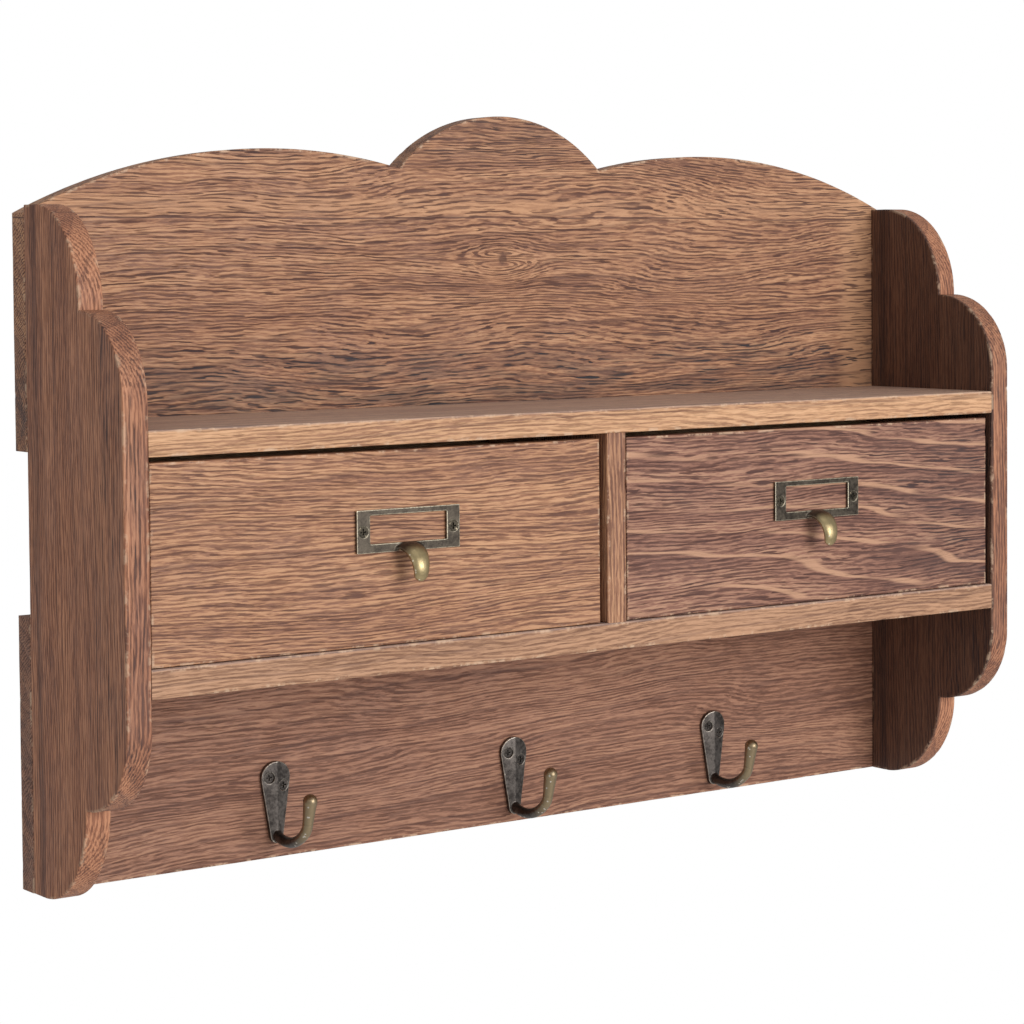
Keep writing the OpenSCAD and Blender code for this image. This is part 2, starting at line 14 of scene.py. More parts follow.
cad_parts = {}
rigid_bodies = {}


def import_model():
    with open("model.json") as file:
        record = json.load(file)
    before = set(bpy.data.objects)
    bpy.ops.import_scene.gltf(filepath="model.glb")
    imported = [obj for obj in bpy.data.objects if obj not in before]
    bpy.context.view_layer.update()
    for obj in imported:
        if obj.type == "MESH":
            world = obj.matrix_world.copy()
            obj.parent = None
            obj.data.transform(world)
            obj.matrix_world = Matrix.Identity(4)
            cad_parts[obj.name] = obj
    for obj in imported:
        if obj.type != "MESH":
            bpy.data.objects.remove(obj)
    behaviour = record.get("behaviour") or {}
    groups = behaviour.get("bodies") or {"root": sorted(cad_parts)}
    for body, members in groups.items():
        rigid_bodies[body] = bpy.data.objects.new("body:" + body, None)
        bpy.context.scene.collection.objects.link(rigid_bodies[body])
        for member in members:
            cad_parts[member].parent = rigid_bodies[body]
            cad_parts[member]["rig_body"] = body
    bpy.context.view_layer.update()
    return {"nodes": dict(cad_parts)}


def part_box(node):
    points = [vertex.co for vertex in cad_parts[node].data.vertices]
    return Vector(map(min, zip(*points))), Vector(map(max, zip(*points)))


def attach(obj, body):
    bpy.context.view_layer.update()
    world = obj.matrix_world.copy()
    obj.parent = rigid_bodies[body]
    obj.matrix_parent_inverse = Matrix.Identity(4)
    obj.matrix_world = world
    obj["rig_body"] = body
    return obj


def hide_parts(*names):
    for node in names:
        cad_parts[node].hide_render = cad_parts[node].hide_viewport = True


MM = 0.001

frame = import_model()
record_nodes = frame["nodes"]


# ---- Camera, light and floor ----


def make_camera():
    """The camera, at the front left of the rack and level with its upper part."""
    place = Vector((-0.7664, -1.0962, 0.008))
    yaw = math.radians(35.418)
    pitch = math.radians(-2.606)
    roll = math.radians(-0.465)
    ahead = Vector((math.sin(yaw) * math.cos(pitch), math.cos(yaw) * math.cos(pitch), math.sin(pitch)))
    level = Vector((math.cos(yaw), -math.sin(yaw), 0))
    upright = level.cross(ahead)
    right = level * math.cos(roll) + upright * math.sin(roll)
    up = upright * math.cos(roll) - level * math.sin(roll)
    camera = bpy.data.objects.new("camera", bpy.data.cameras.new("camera"))
    bpy.context.scene.collection.objects.link(camera)
    camera.matrix_world = Matrix(
        (
            (right.x, up.x, -ahead.x, place.x),
            (right.y, up.y, -ahead.y, place.y),
            (right.z, up.z, -ahead.z, place.z),
            (0, 0, 0, 1),
        )
    )
    camera.data.sensor_width = 36
    camera.data.lens = 97.38
    camera.data.shift_y = -0.1201
    camera.data.clip_start = 0.05
    camera.data.clip_end = 50
    bpy.context.scene.camera = camera


def make_light(name, place, target, size, power):
    """A soft rectangular light at place, turned to the target."""
    lamp = bpy.data.lights.new(name, "AREA")
    lamp.shape = "RECTANGLE"
    lamp.size = size[0]
    lamp.size_y = size[1]
    lamp.energy = power
    light = bpy.data.objects.new(name, lamp)
    bpy.context.scene.collection.objects.link(light)
    light.location = place
    light.rotation_mode = "QUATERNION"
    light.rotation_quaternion = (Vector(target) - Vector(place)).to_track_quat("-Z", "Y")


def make_world(ambient):
    """White surroundings that light the rack with the given strength."""
    world = bpy.data.worlds.new("surroundings")
    bpy.context.scene.world = world
    world.use_nodes = True
    nodes = world.node_tree.nodes
    links = world.node_tree.links
    nodes.clear()
    out = nodes.new("ShaderNodeOutputWorld")
    seen = nodes.new("ShaderNodeBackground")
    seen.inputs["Strength"].default_value = 1.0
    seen.inputs["Color"].default_value = (1, 1, 1, 1)
    lighting = nodes.new("ShaderNodeBackground")
    lighting.inputs["Strength"].default_value = ambient
    lighting.inputs["Color"].default_value = (0.97, 0.985, 1, 1)
    path = nodes.new("ShaderNodeLightPath")
    mix = nodes.new("ShaderNodeMixShader")
    links.new(path.outputs["Is Camera Ray"], mix.inputs["Fac"])
    links.new(lighting.outputs[0], mix.inputs[1])
    links.new(seen.outputs[0], mix.inputs[2])
    links.new(mix.outputs[0], out.inputs["Surface"])


# ---- Material nodes ----


def rgb(red, green, blue):
    """An sRGB colour in 0 to 255 as the linear RGBA that a socket takes."""
    linear = []
    for level in (red, green, blue):
        part = level / 255
        linear.append(part / 12.92 if part <= 0.04045 else ((part + 0.055) / 1.055) ** 2.4)
    return (*linear, 1)


class Finish:
    """A material under construction, with short calls for the nodes it needs."""

    def __init__(self, name):
        self.material = bpy.data.materials.new(name)
        self.material.use_nodes = True
        self.nodes = self.material.node_tree.nodes
        self.links = self.material.node_tree.links
        self.nodes.clear()
        out = self.nodes.new("ShaderNodeOutputMaterial")
        self.shader = self.nodes.new("ShaderNodeBsdfPrincipled")
        self.links.new(self.shader.outputs["BSDF"], out.inputs["Surface"])

    def feed(self, socket, value):
        """Links value to the socket if it is a socket, and sets it otherwise."""
        if isinstance(value, bpy.types.NodeSocket):
            self.links.new(value, socket)
        else:
            socket.default_value = value

    def place(self, seed=0):
        """Where a point lies in the rack, in millimetres, moved on by the seed."""
        at = self.nodes.new("ShaderNodeTexCoord").outputs["Object"]
        node = self.nodes.new("ShaderNodeVectorMath")
        node.operation = "MULTIPLY_ADD"
        self.feed(node.inputs[0], at)
        node.inputs[1].default_value = (1000, 1000, 1000)
        node.inputs[2].default_value = (137.0 * seed, 71.0 * seed, 53.0 * seed)
        return node.outputs[0]

    def split(self, vector):
        """The three parts of a vector."""
        node = self.nodes.new("ShaderNodeSeparateXYZ")
        self.feed(node.inputs[0], vector)
        return node.outputs[0], node.outputs[1], node.outputs[2]

    def join(self, x, y, z):
        """A vector from its three parts."""
        node = self.nodes.new("ShaderNodeCombineXYZ")
        for socket, value in zip(node.inputs, (x, y, z)):
            self.feed(socket, value)
        return node.outputs[0]

    def calc(self, operation, first, second=0.0, third=0.0, clamp=False):
        """One step of arithmetic; clamp keeps its result within 0 to 1."""
        node = self.nodes.new("ShaderNodeMath")
        node.operation = operation
        node.use_clamp = clamp
        for socket, value in zip(node.inputs, (first, second, third)):
            self.feed(socket, value)
        return node.outputs[0]

    def times(self, *values):
        """The product of two or more values."""
        result = values[0]
        for value in values[1:]:
            result = self.calc("MULTIPLY", result, value)
        return result

    def plus(self, first, second):
        """The sum of two values."""
        return self.calc("ADD", first, second)

    def stretch(self, vector, x, y, z):
        """The vector with each of its parts divided by a length."""
        node = self.nodes.new("ShaderNodeVectorMath")
        node.operation = "DIVIDE"
        self.feed(node.inputs[0], vector)
        node.inputs[1].default_value = (x, y, z)
        return node.outputs[0]

    def cloud(self, vector, detail=2.0, rough=0.5):
        """Soft noise of about 0.25 to 0.75, one lump to a unit of the vector."""
        node = self.nodes.new("ShaderNodeTexNoise")
        self.feed(node.inputs["Vector"], vector)
        node.inputs["Scale"].default_value = 1.0
        node.inputs["Detail"].default_value = detail
        node.inputs["Roughness"].default_value = rough
        return node.outputs["Fac"]

    def step(self, value, low, high, start=0.0, end=1.0):
        """A soft step: start up to low, end from high."""
        node = self.nodes.new("ShaderNodeMapRange")
        node.interpolation_type = "SMOOTHSTEP"
        for name, setting in (
            ("Value", value),
            ("From Min", low),
            ("From Max", high),
            ("To Min", start),
            ("To Max", end),
        ):
            self.feed(node.inputs[name], setting)
        return node.outputs[0]

    def blend(self, factor, first, second):
        """A colour between first, at a factor of 0, and second, at 1."""
        node = self.nodes.new("ShaderNodeMix")
        node.data_type = "RGBA"
        self.feed(node.inputs["Factor"], factor)
        self.feed(node.inputs["A"], first)
        self.feed(node.inputs["B"], second)
        return node.outputs["Result"]

    def attribute(self, name):
        """A number that the mesh carries at each of its points."""
        node = self.nodes.new("ShaderNodeAttribute")
        node.attribute_name = name
        return node.outputs["Fac"]

    def ridges(self):
        """How much a dense mesh bulges at a point: about 0.5 where it is flat, more on edges."""
        return self.nodes.new("ShaderNodeNewGeometry").outputs["Pointiness"]

    def finish(self, colour, roughness, height, depth):
        """Joins up the shader: depth is how deep the bumps are, in millimetres."""
        self.feed(self.shader.inputs["Base Color"], colour)
        self.feed(self.shader.inputs["Roughness"], roughness)
        bump = self.nodes.new("ShaderNodeBump")
        bump.inputs["Strength"].default_value = 1.0
        bump.inputs["Distance"].default_value = depth * MM
        self.feed(bump.inputs["Height"], height)
        self.links.new(bump.outputs[0], self.shader.inputs["Normal"])
        return self.material


# ---- Wood ----

WOOD_LIGHT = rgb(200, 151, 114)
WOOD_MID = rgb(170, 121, 90)
WOOD_DARK = rgb(130, 88, 68)
WOOD_STREAK = rgb(84, 54, 47)
WOOD_STAIN = rgb(44, 42, 48)
WOOD_WORN = rgb(214, 180, 150)
# Spacing of the fine lines that pores and fibres follow
COMB_SPACING = 1.9


def wood(
    name,
    grain,
    seed,
    light=WOOD_LIGHT,
    mid=WOOD_MID,
    dark=WOOD_DARK,
    waves=5.0,
    rings=(5.0, -60.0, 60.0, 0.02),
    ring_strength=0.5,
    ring_tint=WOOD_STREAK,
    streaks=0.6,
    stains=(),
    pale=(),
    painted_shade_and_sheen=(),
    knot=None,
    lines=(),
    worn=0.75,
):
    """Brushed old wood with its grain along X, Y or Z.

    rings holds the spacing of the growth rings, the place of their axis across the face and
    in depth, and how much that axis leans away along the board.
    stains and pale hold (axis, start, end, strength), in millimetres of the rack's frame,
    and the argument after pale holds painted shade and painted sheen: the same, with a colour at the end.
    knot holds its place along and across the grain and its size, and lines hold the place
    across the grain, the half width and the strength of each line.
    Each stretch below gives the size of the noise along the grain, across it and in depth.
    """
    f = Finish(name)
    here = f.place()
    x, y, z = f.split(here)
    places = {"x": x, "y": y, "z": z}
    along, across, deep = {"x": (x, z, y), "y": (y, z, x), "z": (z, y, x)}[grain]
    shift = 211.0 * seed
    along_s = f.plus(along, shift)
    across_s = f.plus(across, shift * 0.37)
    deep_s = f.plus(deep, shift * 0.19)
    raw = f.join(along_s, across_s, deep_s)

    # The grain wanders slowly, and a little more in short waves
    slow = f.calc("SUBTRACT", f.cloud(f.stretch(raw, 170, 42, 60), 1.0), 0.5)
    short = f.calc("SUBTRACT", f.cloud(f.stretch(raw, 26, 7, 9), 2.0), 0.5)
    wander = f.plus(f.times(slow, waves * 3.2), f.times(short, waves * 0.34))
    if knot:
        knot_along, knot_across, knot_size = knot
        off_along = f.calc("SUBTRACT", along, knot_along)
        off_across = f.calc("SUBTRACT", across, knot_across)
        far_along = f.calc("POWER", f.calc("DIVIDE", off_along, knot_size * 6), 2)
        far_across = f.calc("POWER", f.calc("DIVIDE", off_across, knot_size * 3.2), 2)
        bulge = f.calc("EXPONENT", f.times(f.plus(far_along, far_across), -1))
        push = f.times(f.step(off_across, -knot_size, knot_size, -1.0, 1.0), bulge)
        wander = f.plus(wander, f.times(push, -knot_size * 1.3))
    across_w = f.plus(across_s, wander)
    deep_w = f.plus(deep_s, wander)
    body = f.join(along_s, across_w, deep_w)

    # Tones: wide bands, then growth rings about an axis below the face
    tone = f.cloud(f.stretch(body, 210, 15, 15), 3.0, 0.6)
    spacing, axis_across, axis_deep, lean = rings
    level = f.plus(f.calc("SUBTRACT", deep, axis_deep), f.times(along, lean))
    aside = f.plus(f.calc("SUBTRACT", across, axis_across), wander)
    radius = f.calc("SQRT", f.plus(f.calc("POWER", aside, 2), f.calc("POWER", level, 2)))
    loose = f.times(f.cloud(f.stretch(body, 160, 14, 14), 2.0), 1.3)
    turn = f.calc("FRACT", f.plus(f.calc("DIVIDE", radius, spacing), loose))
    ring = f.times(f.step(turn, 0.0, 0.72), f.step(turn, 0.82, 1.0, 1.0, 0.0))
    from_line = f.calc("ABSOLUTE", f.calc("SUBTRACT", turn, 0.88))
    faint = f.step(f.cloud(f.stretch(body, 75, 6, 6), 1.0), 0.34, 0.50)
    ring_line = f.times(f.step(from_line, 0.03, 0.10, 1.0, 0.0), faint, ring_strength)

    # Pores: short dark streaks in groups; finer fibres everywhere; a comb lines both up
    group = f.step(f.cloud(f.stretch(body, 95, 8, 8), 2.0, 0.6), 0.34, 0.62)
    crowd = f.plus(f.times(group, 0.75), f.times(ring, 0.25 * ring_strength))
    drift = f.times(f.cloud(f.stretch(body, 30, 3.5, 3.5), 2.0), 9.0)
    comb = f.calc("SINE", f.plus(f.times(f.plus(across_w, deep_w), 2 * math.pi / COMB_SPACING), drift))
    pore_noise = f.cloud(f.stretch(body, 16, 0.85, 0.85), 1.0, 0.6)
    pore_noise = f.plus(pore_noise, f.times(comb, 0.10))
    pore_low = f.calc("SUBTRACT", 0.600, f.times(crowd, 0.09))
    pores = f.step(f.calc("SUBTRACT", pore_noise, pore_low), 0.0, 0.09)
    varied = f.step(f.cloud(f.stretch(body, 34, 2.6, 2.6), 1.0), 0.32, 0.66, 0.5, 1.0)
    pores = f.times(pores, varied)
    fine_noise = f.cloud(f.stretch(body, 9, 0.6, 0.6), 2.0, 0.7)
    fibres = f.step(f.plus(fine_noise, f.times(comb, -0.09)), 0.36, 0.64)
    blotch = f.cloud(f.stretch(raw, 34, 15, 15), 3.0, 0.6)

    light_amount = f.plus(f.times(tone, 0.95), f.times(fibres, 0.46))
    light_amount = f.plus(light_amount, f.times(ring, -0.30 * ring_strength))
    light_amount = f.plus(light_amount, f.times(blotch, 0.22))
    colour = f.blend(f.step(light_amount, 0.42, 0.82), dark, mid)
    colour = f.blend(f.step(light_amount, 0.72, 1.16), colour, light)

    # Stains darken the pores most; pale bands lift the colour
    stain = 0.0
    for axis, start, end, strength in stains:
        part = f.times(f.step(places[axis], start, end), strength)
        stain = f.calc("MAXIMUM", stain, part)
    ragged = f.step(f.cloud(f.stretch(body, 40, 5, 5), 3.0, 0.65), 0.30, 0.66)
    stain = f.times(f.plus(stain, 0.04), ragged)
    colour = f.blend(f.times(stain, 0.5), colour, WOOD_STAIN)
    for axis, start, end, strength in pale:
        middle = (start + end) / 2
        reach = abs(end - start) / 2
        gap = f.calc("ABSOLUTE", f.calc("SUBTRACT", places[axis], middle))
        part = f.times(f.step(gap, reach * 0.3, reach, 1.0, 0.0), strength)
        colour = f.blend(part, colour, light)
    ink = f.blend(f.calc("MULTIPLY", stain, 1.6, clamp=True), WOOD_STREAK, WOOD_STAIN)
    pore_strength = f.calc("ADD", f.times(stain, 0.5), streaks, clamp=True)
    colour = f.blend(f.times(pores, pore_strength), colour, ink)
    colour = f.blend(f.times(ring_line, 0.85), colour, ring_tint)

    # Long thin dark lines that follow the grain
    for line_across, line_width, line_strength in lines:
        off = f.plus(f.calc("SUBTRACT", across, line_across), f.times(wander, 0.25))
        near = f.step(f.calc("ABSOLUTE", off), line_width * 0.4, line_width, 1.0, 0.0)
        colour = f.blend(f.times(near, line_strength), colour, WOOD_STREAK)

    if knot:
        swirl = f.times(f.calc("SUBTRACT", f.cloud(f.stretch(raw, 2.2, 2.2, 2.2), 2.0), 0.5), knot_size)
        size = f.calc("SQRT", f.plus(f.calc("POWER", off_along, 2), f.calc("POWER", off_across, 2)))
        core = f.step(f.plus(size, swirl), knot_size * 0.45, knot_size, 1.0, 0.0)
        colour = f.blend(f.times(core, 0.7), colour, WOOD_STREAK)

    # Painted shade and sheen: a face or an end of a board turns to another colour that stands in for shade
    # or for a reflection of the bright surroundings
    for axis, start, end, strength, tint in painted_shade_and_sheen:
        part = f.times(f.step(places[axis], start, end), strength)
        colour = f.blend(part, colour, tint)

    # Worn edges: pale in the patches where they are rubbed
    edge = f.attribute("edge")
    rub = f.step(f.cloud(f.stretch(raw, 7, 7, 7), 3.0, 0.7), 0.50, 0.64)
    colour = f.blend(f.times(edge, rub, worn), colour, WOOD_WORN)

    roughness = f.plus(f.step(blotch, 0.3, 0.7, 0.50, 0.66), f.times(pores, 0.14))
    height = f.plus(f.times(pores, -0.8), f.times(fibres, 0.22))
    height = f.plus(height, f.times(ring, -0.25 * ring_strength))
    height = f.plus(height, f.times(blotch, 0.3))
    f.shader.inputs["Specular IOR Level"].default_value = 0.35
    return f.finish(colour, roughness, height, 0.22)


# ---- Metal ----

# The least and the most roughness of mottled metal
METAL_SMOOTH = 0.30
METAL_ROUGH = 0.48


def metal(name, dark, mid, bright, seed, edge_bright_from, edge_bright_to, brass_wear_and_sheen=None):
    """Cast and tumbled metal: dark in its hollows, mottled, and bright on its edges, where rubbed metal
    and a painted highlight are shown as one colour. The two numbers after the seed are how far an edge
    must bulge to turn a little and fully bright, rubbed and with a painted highlight. The last argument
    holds (colour, start, end): the metal turns to that colour towards the front, for brass worn bare and,
    on a pull's finger, also for a painted highlight.
    """
    f = Finish(name)
    here = f.place(seed)
    mottle = f.cloud(f.stretch(here, 1.6, 1.6, 1.6), 4.0, 0.65)
    patch = f.cloud(f.stretch(here, 7, 7, 7), 2.0, 0.5)
    grit = f.cloud(f.stretch(here, 0.35, 0.35, 0.35), 2.0, 0.6)
    shade = f.plus(f.times(mottle, 0.7), f.times(patch, 0.5))
    colour = f.blend(f.step(shade, 0.42, 0.78), dark, mid)
    # Towards the front the metal turns warm: worn brass, and on a pull's finger a painted highlight too
    if brass_wear_and_sheen:
        tint, start, end = brass_wear_and_sheen
        _, y, _ = f.split(f.place())
        colour = f.blend(f.step(y, start, end), colour, tint)
    # Bulging edges turn bright: rubbed metal, with a painted highlight along the edge
    bulge = f.ridges()
    rubbed_and_highlit = f.step(f.plus(bulge, f.times(f.calc("SUBTRACT", mottle, 0.5), 0.03)), edge_bright_from, edge_bright_to)
    colour = f.blend(rubbed_and_highlit, colour, bright)
    hollow = f.step(bulge, 0.40, 0.49, 1.0, 0.0)
    colour = f.blend(f.times(hollow, 0.8), colour, f.blend(0.5, dark, (0.01, 0.01, 0.01, 1)))
    rough = f.plus(f.step(mottle, 0.3, 0.7, METAL_SMOOTH, METAL_ROUGH), f.times(rubbed_and_highlit, -0.08))
    f.shader.inputs["Metallic"].default_value = 0.92
    height = f.plus(f.times(grit, 0.35), f.times(mottle, 0.65))
    return f.finish(colour, rough, height, 0.09)


# ---- Boards ----

# Side panels, measured back from the front: where the flat top and bottom end, and the notch
# between corner and lobe; then the heights of the two corners
PANEL_FLAT = 78.0
PANEL_NOTCH = 37.8
PANEL_LOW_CORNER = 43.6
PANEL_TOP_CORNER = 44.5
# Crest: how far its side arcs stay below the top, their radius, and the middle arc's radius
WING_DROP = 17.3
WING_R = 280.0
CREST_R = 80.0
# Edges: steps round an edge, spacing of the points along it, and its least and largest radius
RIM_STEPS = 3
RIM_SPACING = 1.6
RIM_LEAST = 0.15
RIM_LIMIT = 1.3
# Lengths of the waves that vary this radius, of the chips and of the nicks
SOFT_LUMP = 14
CHIP_LUMP = 5
NICK_LUMP = 2.2
# Width of the strip beside an edge: on the face from its border, on the side from the rounding
FLAT_FROM = 1.45
SIDE_STRIP = 1.4
# An angle larger than this, in degrees, is shaded as a sharp edge
SHARP_ANGLE = 42
# The back boards stay this far off the plane of the wall
BACK_INSET = 0.05


def dense(corners, spacing):
    """The outline with points added along its long sides."""
    points = []
    for start, end in zip(corners, corners[1:] + corners[:1]):
        start = Vector(start)
        end = Vector(end)
        count = max(1, round((end - start).length / spacing))
        for i in range(count):
            points.append(start.lerp(end, i / count))
    return points


def inward(points):
    """For each point, the mitred way in from both of its sides. Points run anticlockwise."""
    count = len(points)
    ways = []
    for i in range(count):
        before = (points[i] - points[i - 1]).normalized()
        after = (points[(i + 1) % count] - points[i]).normalized()
        first = Vector((-before.y, before.x))
        second = Vector((-after.y, after.x))
        ways.append((first + second) / max(0.4, 1 + first.dot(second)))
    return ways


def wobble(point, size, seed):
    """Smooth repeatable noise of about -1 to 1, one lump to each size in millimetres."""
    return noise.noise(Vector((point[0] / size + seed * 17.3, point[1] / size, seed * 5.1)))


def board(name, corners, low, high, put, ease=0.55, chips=1.0, seed=1):
    """A board with eased and slightly chipped edges.

    corners is its outline in millimetres, low and high its two faces,
    and put turns (outline first, outline second, thickness) into a point of the frame.
    ease is the usual radius of its edges, and chips how far the chips and nicks add to it.
    """
    points = dense(corners, RIM_SPACING)
    ways = inward(points)
    rows = []
    for side, face in ((0, low), (1, high)):
        sign = 1 if side == 0 else -1
        rims = []
        for i, point in enumerate(points):
            soft = ease * (1 + 0.35 * wobble(point, SOFT_LUMP, seed + side))
            chip = max(0.0, wobble(point, CHIP_LUMP, seed + 3 + side) - 0.42) * 2.4
            nick = max(0.0, wobble(point, NICK_LUMP, seed + 7 + side) - 0.5) * 1.1
            rims.append(min(RIM_LIMIT, max(RIM_LEAST, soft + chips * (chip + nick))))
        made = [([(FLAT_FROM, 0.0) for _ in rims], 0.0)]
        for k in range(RIM_STEPS + 1):
            angle = math.pi / 2 * k / RIM_STEPS
            made.append(([(r * (1 - math.sin(angle)), r * (1 - math.cos(angle))) for r in rims], 1.0))
        made.append(([(0.0, r + SIDE_STRIP) for r in rims], 0.0))
        rings = [([(inset, face + sign * drop) for inset, drop in ring], worn) for ring, worn in made]
        rows.extend(rings if side == 0 else rings[::-1])
    mesh = bmesh.new()
    layer = mesh.verts.layers.float.new("edge")
    loops = []
    for ring, worn in rows:
        loop = []
        for point, way, (inset, level) in zip(points, ways, ring):
            spot = point + way * inset
            vertex = mesh.verts.new(put(spot.x, spot.y, level))
            vertex[layer] = worn
            loop.append(vertex)
        loops.append(loop)
    count = len(points)
    for lower, upper in zip(loops, loops[1:]):
        for i in range(count):
            j = (i + 1) % count
            face = mesh.faces.new((lower[i], lower[j], upper[j], upper[i]))
            face.smooth = True
    mesh.faces.new(loops[0][::-1])
    mesh.faces.new(loops[-1])
    bmesh.ops.recalc_face_normals(mesh, faces=mesh.faces)
    return as_object(name, mesh)


def as_object(name, mesh):
    """A linked object from a bmesh, which is freed."""
    data = bpy.data.meshes.new(name)
    mesh.to_mesh(data)
    mesh.free()
    data.set_sharp_from_angle(angle=math.radians(SHARP_ANGLE))
    made = bpy.data.objects.new(name, data)
    bpy.context.scene.collection.objects.link(made)
    return made


def dress(piece, material, node):
    """Gives the piece its material, slot and body, and lets it stand for the CAD node."""
    piece.data.materials.clear()
    piece.data.materials.append(material)
    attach(piece, record_nodes[node]["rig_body"])
    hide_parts(node)
    return piece


def box_mm(node):
    """The two corners of the CAD node's box, in millimetres."""
    low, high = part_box(node)
    return low / MM, high / MM


def facing(a, b, c):
    """Outline in X and Z, thickness along Y."""
    return Vector((a, c, b)) * MM


def sideways(a, b, c):
    """Outline in Y and Z, thickness along X."""
    return Vector((c, a, b)) * MM


def lying(a, b, c):
    """Outline in X and Y, thickness along Z."""
    return Vector((a, b, c)) * MM


def rectangle(low_a, low_b, high_a, high_b):
    """The outline of a plain board, anticlockwise."""
    return [(low_a, low_b), (high_a, low_b), (high_a, high_b), (low_a, high_b)]


def quarter(centre, radii, start, end, count):
    """Points of a quarter of an ellipse, angles in degrees."""
    points = []
    for i in range(count + 1):
        angle = math.radians(start + (end - start) * i / count)
        points.append((centre[0] + radii[0] * math.cos(angle), centre[1] + radii[1] * math.sin(angle)))
    return points


def panel_outline(low, high):
    """A side panel in Y and Z: a rounded corner over a deeper lobe, and the same again below."""
    back = high.y
    front = low.y
    flat_end = front + PANEL_FLAT
    notch = front + PANEL_NOTCH
    depth = notch - front
    low_z = low.z + PANEL_LOW_CORNER
    top_z = high.z - PANEL_TOP_CORNER
    low_corner = quarter((flat_end, low_z), (notch - flat_end, PANEL_LOW_CORNER), -90, 0, 30)
    low_lobe = quarter((notch, low_z + depth), (-depth, depth), -90, 0, 26)
    top_lobe = quarter((notch, top_z - depth), (-depth, depth), 0, 90, 26)
    top_corner = quarter((flat_end, top_z), (notch - flat_end, PANEL_TOP_CORNER), 0, 90, 30)
    points = [(back, high.z), (back, low.z)] + low_corner + low_lobe[1:] + top_lobe + top_corner[1:]
    return points[::-1]


def crest_outline(low, high):
    """The upper back board in X and Z: two wide arcs and a tighter one between them."""
    wing_top = high.z - WING_DROP

    def wing(x):
        return wing_top - WING_R + math.sqrt(WING_R**2 - (abs(x) - high.x / 2) ** 2)

    def crest(x):
        return high.z - CREST_R + math.sqrt(max(0.0, CREST_R**2 - x**2))

    # The arcs meet at the valley, found to a fiftieth of a millimetre
    valley = next(x / 50 for x in range(1, 5000) if crest(x / 50) < wing(x / 50))
    wing_steps = 110
    crest_steps = 64
    marks = [high.x - (high.x - valley) * i / wing_steps for i in range(wing_steps + 1)]
    marks += [valley - 2 * valley * i / crest_steps for i in range(1, crest_steps + 1)]
    marks += [-valley - (high.x - valley) * i / wing_steps for i in range(1, wing_steps + 1)]
    top = [(x, max(wing(x), crest(x))) for x in marks]
    return [(low.x, low.z), (high.x, low.z)] + top


def settle(piece):
    """Applies the piece's modifiers."""
    ready = piece.evaluated_get(bpy.context.evaluated_depsgraph_get())
    data = bpy.data.meshes.new_from_object(ready)
    piece.modifiers.clear()
    piece.data = data


def cut(piece, cutter):
    """Takes the cutter's shape out of the piece."""
    modifier = piece.modifiers.new("cut", "BOOLEAN")
    modifier.operation = "DIFFERENCE"
    modifier.solver = "EXACT"
    modifier.object = cutter
    settle(piece)
    bpy.data.objects.remove(cutter)


# Pocket behind a keyhole: radius of its ends, distance between them, and its start and end in Y
POCKET_R = 6.0
POCKET_RISE = 11.0
POCKET_FROM = -7.0
POCKET_TO = 3.0
# Recess of a hanger plate: its play in width and height, and its length in Y
RECESS_PLAY = 0.1
RECESS_LENGTH = 6.5


def hanger_pocket(node, hole_low):
    """Cutters for a hanger plate: its recess, and the deeper pocket for a screw head.

    hole_low is the height of the keyhole's round entry, where a screw head goes in.
    """
    low, high = box_mm(node)
    middle = (low.x + high.x) / 2
    mesh = bmesh.new()
    size = (high.x - low.x + RECESS_PLAY, RECESS_LENGTH, high.z - low.z + RECESS_PLAY)
    centre = (middle, low.y + size[1] / 2, (low.z + high.z) / 2)
    made = bmesh.ops.create_cube(mesh, size=1.0)
    bmesh.ops.scale(mesh, vec=size, verts=made["verts"])
    bmesh.ops.translate(mesh, vec=centre, verts=made["verts"])
    recess = as_object("recess", mesh)
    recess.data.transform(Matrix.Scale(MM, 4))
    mesh = bmesh.new()
    outline = quarter((middle, hole_low), (POCKET_R, POCKET_R), 180, 360, 20)
    outline += quarter((middle, hole_low + POCKET_RISE), (POCKET_R, POCKET_R), 0, 180, 20)
    for level in (POCKET_FROM, POCKET_TO):
        ring = [mesh.verts.new(facing(a, b, level)) for a, b in outline]
        mesh.faces.new(ring if level > 0 else ring[::-1])
    mesh.verts.ensure_lookup_table()
    count = len(outline)
    for i in range(count):
        j = (i + 1) % count
        mesh.faces.new((mesh.verts[i], mesh.verts[j], mesh.verts[count + j], mesh.verts[count + i]))
    bmesh.ops.recalc_face_normals(mesh, faces=mesh.faces)
    return recess, as_object("pocket", mesh)


# ---- Hooks and pulls ----

# Label frame: its thickness, its height, and the height of its lower bar
LABEL_T = 1.6
LABEL_H = 18.5
LABEL_LOW_BAR = 3.8
# Finger: radius and angle of its curl, and the share and length of the straight root behind it
FINGER_R = 11.0
FINGER_TURN = 124
FINGER_ROOT = 0.08
FINGER_RUN = 2.4
# Finger: width at the root, what it loses towards the tip, and the flare where it meets the bar
FINGER_W = 12.5
FINGER_NARROWING = 6.4
FINGER_FLARE = 5.0
# Finger: thickness, what it loses towards the tip, how round its sides are, the share of its
# length that closes at the tip, and how far its middle stands above its sides
FINGER_T = 2.7
FINGER_THINNING = 0.5
FINGER_EDGE = 0.42
FINGER_TIP = 0.12
CROWN = 1.25


def copy_of(node, name):
    """A new piece with its own copy of the CAD node's mesh."""
    data = record_nodes[node].data.copy()
    made = bpy.data.objects.new(name, data)
    bpy.context.scene.collection.objects.link(made)
    return made


def cast(piece, voxel, rounds):
    """Turns the piece into one dense, softly rounded skin, as a casting has.

    voxel is the size of its faces in millimetres, and rounds how often it is smoothed.
    """
    remesh = piece.modifiers.new("skin", "REMESH")
    remesh.mode = "VOXEL"
    remesh.voxel_size = voxel * MM
    remesh.use_smooth_shade = True
    soften = piece.modifiers.new("soften", "SMOOTH")
    soften.factor = 0.5
    soften.iterations = rounds
    settle(piece)
    return piece


